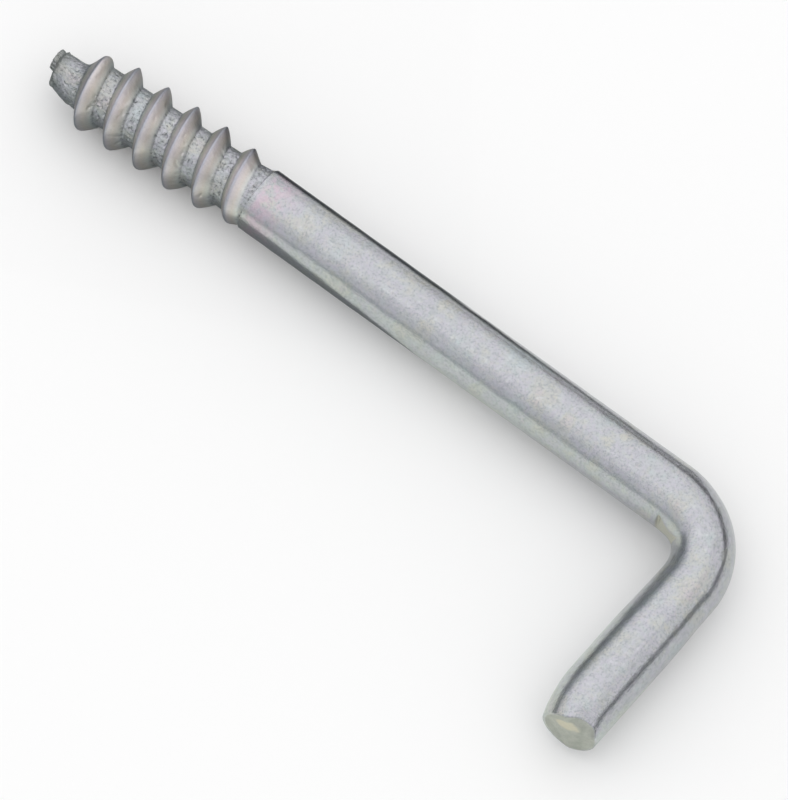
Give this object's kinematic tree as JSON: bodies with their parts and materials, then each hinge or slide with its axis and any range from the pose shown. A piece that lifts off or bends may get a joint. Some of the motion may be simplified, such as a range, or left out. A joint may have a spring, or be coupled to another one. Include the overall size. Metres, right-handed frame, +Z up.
{
  "type": "screw hook",
  "caption": "Square-bend screw hook of zinc-plated steel wire: coarse wood thread with a blunt torn tip, plain round shank, short leg with a sheared end.",
  "frame": {"origin": "on the wire's axis at the shoulder, where the thread meets the plain shank", "axes": "+X along the shank from the thread to the bend, the leg turns off towards -Y, +Z up square to the plane of the hook, which lies flat"},
  "size_m": [0.063, 0.0223, 0.0062],
  "materials": {
    "zinc_plate": "satin"
  },
  "bodies": {
    "root": {"screw_hook": "zinc_plate"}
  },
  "joints": []
}
